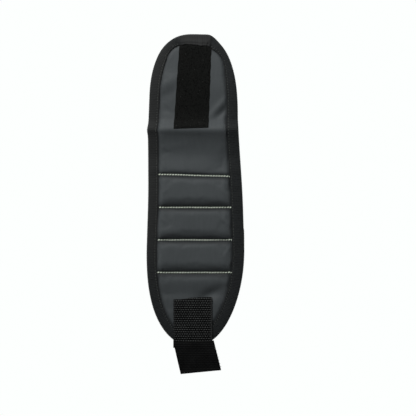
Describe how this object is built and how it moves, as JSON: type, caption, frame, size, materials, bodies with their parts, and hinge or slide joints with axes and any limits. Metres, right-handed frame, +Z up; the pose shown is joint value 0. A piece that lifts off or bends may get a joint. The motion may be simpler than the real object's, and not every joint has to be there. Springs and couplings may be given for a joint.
{
  "type": "wrist pin cushion",
  "caption": "Padded cloth wristband lying open, with a loop-patch flap, stitched magnet pockets that hold pins, and a webbing strap with a hook tab that closes it round the wrist.",
  "frame": {"origin": "middle of the open band's outline, on the table it lies on", "axes": "+Z up, out of the band's front; +Y along the band towards the flap with the loop patch; X across the band"},
  "size_m": [0.0966, 0.3396, 0.0107],
  "materials": {
    "shell_fabric": "plain-woven nylon shell, charcoal grey, slight sheen",
    "binding_tape": "black grosgrain tape, matt",
    "lining_mesh": "black spacer mesh, matt",
    "loop_pile": "black brushed loop pile, matt",
    "webbing": "black woven webbing with a low sheen",
    "hook_tape": "black woven tape with moulded hooks on its back",
    "foam": "grey foam sheet, matt",
    "magnet": "bright nickel plate",
    "seam_thread": "pale grey-green twisted sewing thread"
  },
  "bodies": {
    "flap_tip": {"binding_flap_tip": "binding_tape", "cover_flap_tip": "shell_fabric", "lining_flap_tip": "lining_mesh", "loop_patch_flap_tip": "loop_pile"},
    "flap_base": {"binding_flap_base_left": "binding_tape", "binding_flap_base_right": "binding_tape", "cover_flap_base": "shell_fabric", "lining_flap_base": "lining_mesh", "loop_patch_flap_base": "loop_pile"},
    "upper_panel": {"binding_upper_panel_left": "binding_tape", "binding_upper_panel_right": "binding_tape", "cover_upper_panel": "shell_fabric", "lining_upper_panel": "lining_mesh"},
    "pocket_1": {"binding_pocket_1_left": "binding_tape", "binding_pocket_1_right": "binding_tape", "cover_pocket_1": "shell_fabric", "foam_pad_1": "foam", "lining_pocket_1": "lining_mesh", "magnet_1_1": "magnet", "magnet_1_2": "magnet", "magnet_1_3": "magnet", "magnet_1_4": "magnet", "magnet_1_5": "magnet", "seam_thread_1": "seam_thread"},
    "pocket_2": {"binding_pocket_2_left": "binding_tape", "binding_pocket_2_right": "binding_tape", "cover_pocket_2": "shell_fabric", "foam_pad_2": "foam", "lining_pocket_2": "lining_mesh", "magnet_2_1": "magnet", "magnet_2_2": "magnet", "magnet_2_3": "magnet", "magnet_2_4": "magnet", "magnet_2_5": "magnet", "seam_thread_2": "seam_thread", "seam_thread_3": "seam_thread"},
    "pocket_3": {"binding_pocket_3_left": "binding_tape", "binding_pocket_3_right": "binding_tape", "cover_pocket_3": "shell_fabric", "foam_pad_3": "foam", "lining_pocket_3": "lining_mesh", "magnet_3_1": "magnet", "magnet_3_2": "magnet", "magnet_3_3": "magnet", "magnet_3_4": "magnet", "magnet_3_5": "magnet", "seam_thread_4": "seam_thread"},
    "lower_panel": {"binding_lower_panel_left": "binding_tape", "binding_lower_panel_right": "binding_tape", "cover_lower_panel": "shell_fabric", "lining_lower_panel": "lining_mesh"},
    "strap_end": {"binding_strap_end": "binding_tape", "cover_strap_end": "shell_fabric", "lining_strap_end": "lining_mesh", "webbing_strap": "webbing"},
    "tab": {"hook_tape": "hook_tape"}
  },
  "joints": [
    {"name": "flap_bend", "type": "hinge", "parent": "flap_base", "child": "flap_tip", "pos_m": [0, 0.12085, 0.00521], "axis": [-1, 0, 0], "range_deg": [-30, 67]},
    {"name": "crease", "type": "hinge", "parent": "upper_panel", "child": "flap_base", "pos_m": [0, 0.07295, 0.00831], "axis": [-1, 0, 0], "range_deg": [-30, 59]},
    {"name": "seam_1_bend", "type": "hinge", "parent": "pocket_1", "child": "upper_panel", "pos_m": [0, 0.02839, 0.00205], "axis": [-1, 0, 0], "range_deg": [-30, 63]},
    {"name": "seam_2_bend", "type": "hinge", "parent": "pocket_2", "child": "pocket_1", "pos_m": [0, -0.00401, 0.00205], "axis": [-1, 0, 0], "range_deg": [-25, 40]},
    {"name": "seam_3_bend", "type": "hinge", "parent": "pocket_2", "child": "pocket_3", "pos_m": [0, -0.03641, 0.00205], "axis": [1, 0, 0], "range_deg": [-25, 37]},
    {"name": "seam_4_bend", "type": "hinge", "parent": "pocket_3", "child": "lower_panel", "pos_m": [0, -0.06881, 0.00205], "axis": [1, 0, 0], "range_deg": [-25, 42]},
    {"name": "lower_bend", "type": "hinge", "parent": "lower_panel", "child": "strap_end", "pos_m": [0, -0.09311, 0.00205], "axis": [1, 0, 0], "range_deg": [-30, 52]},
    {"name": "tab_bend", "type": "hinge", "parent": "strap_end", "child": "tab", "pos_m": [0, -0.14372, 0.0052], "axis": [1, 0, 0], "range_deg": [-30, 53.5]}
  ]
}
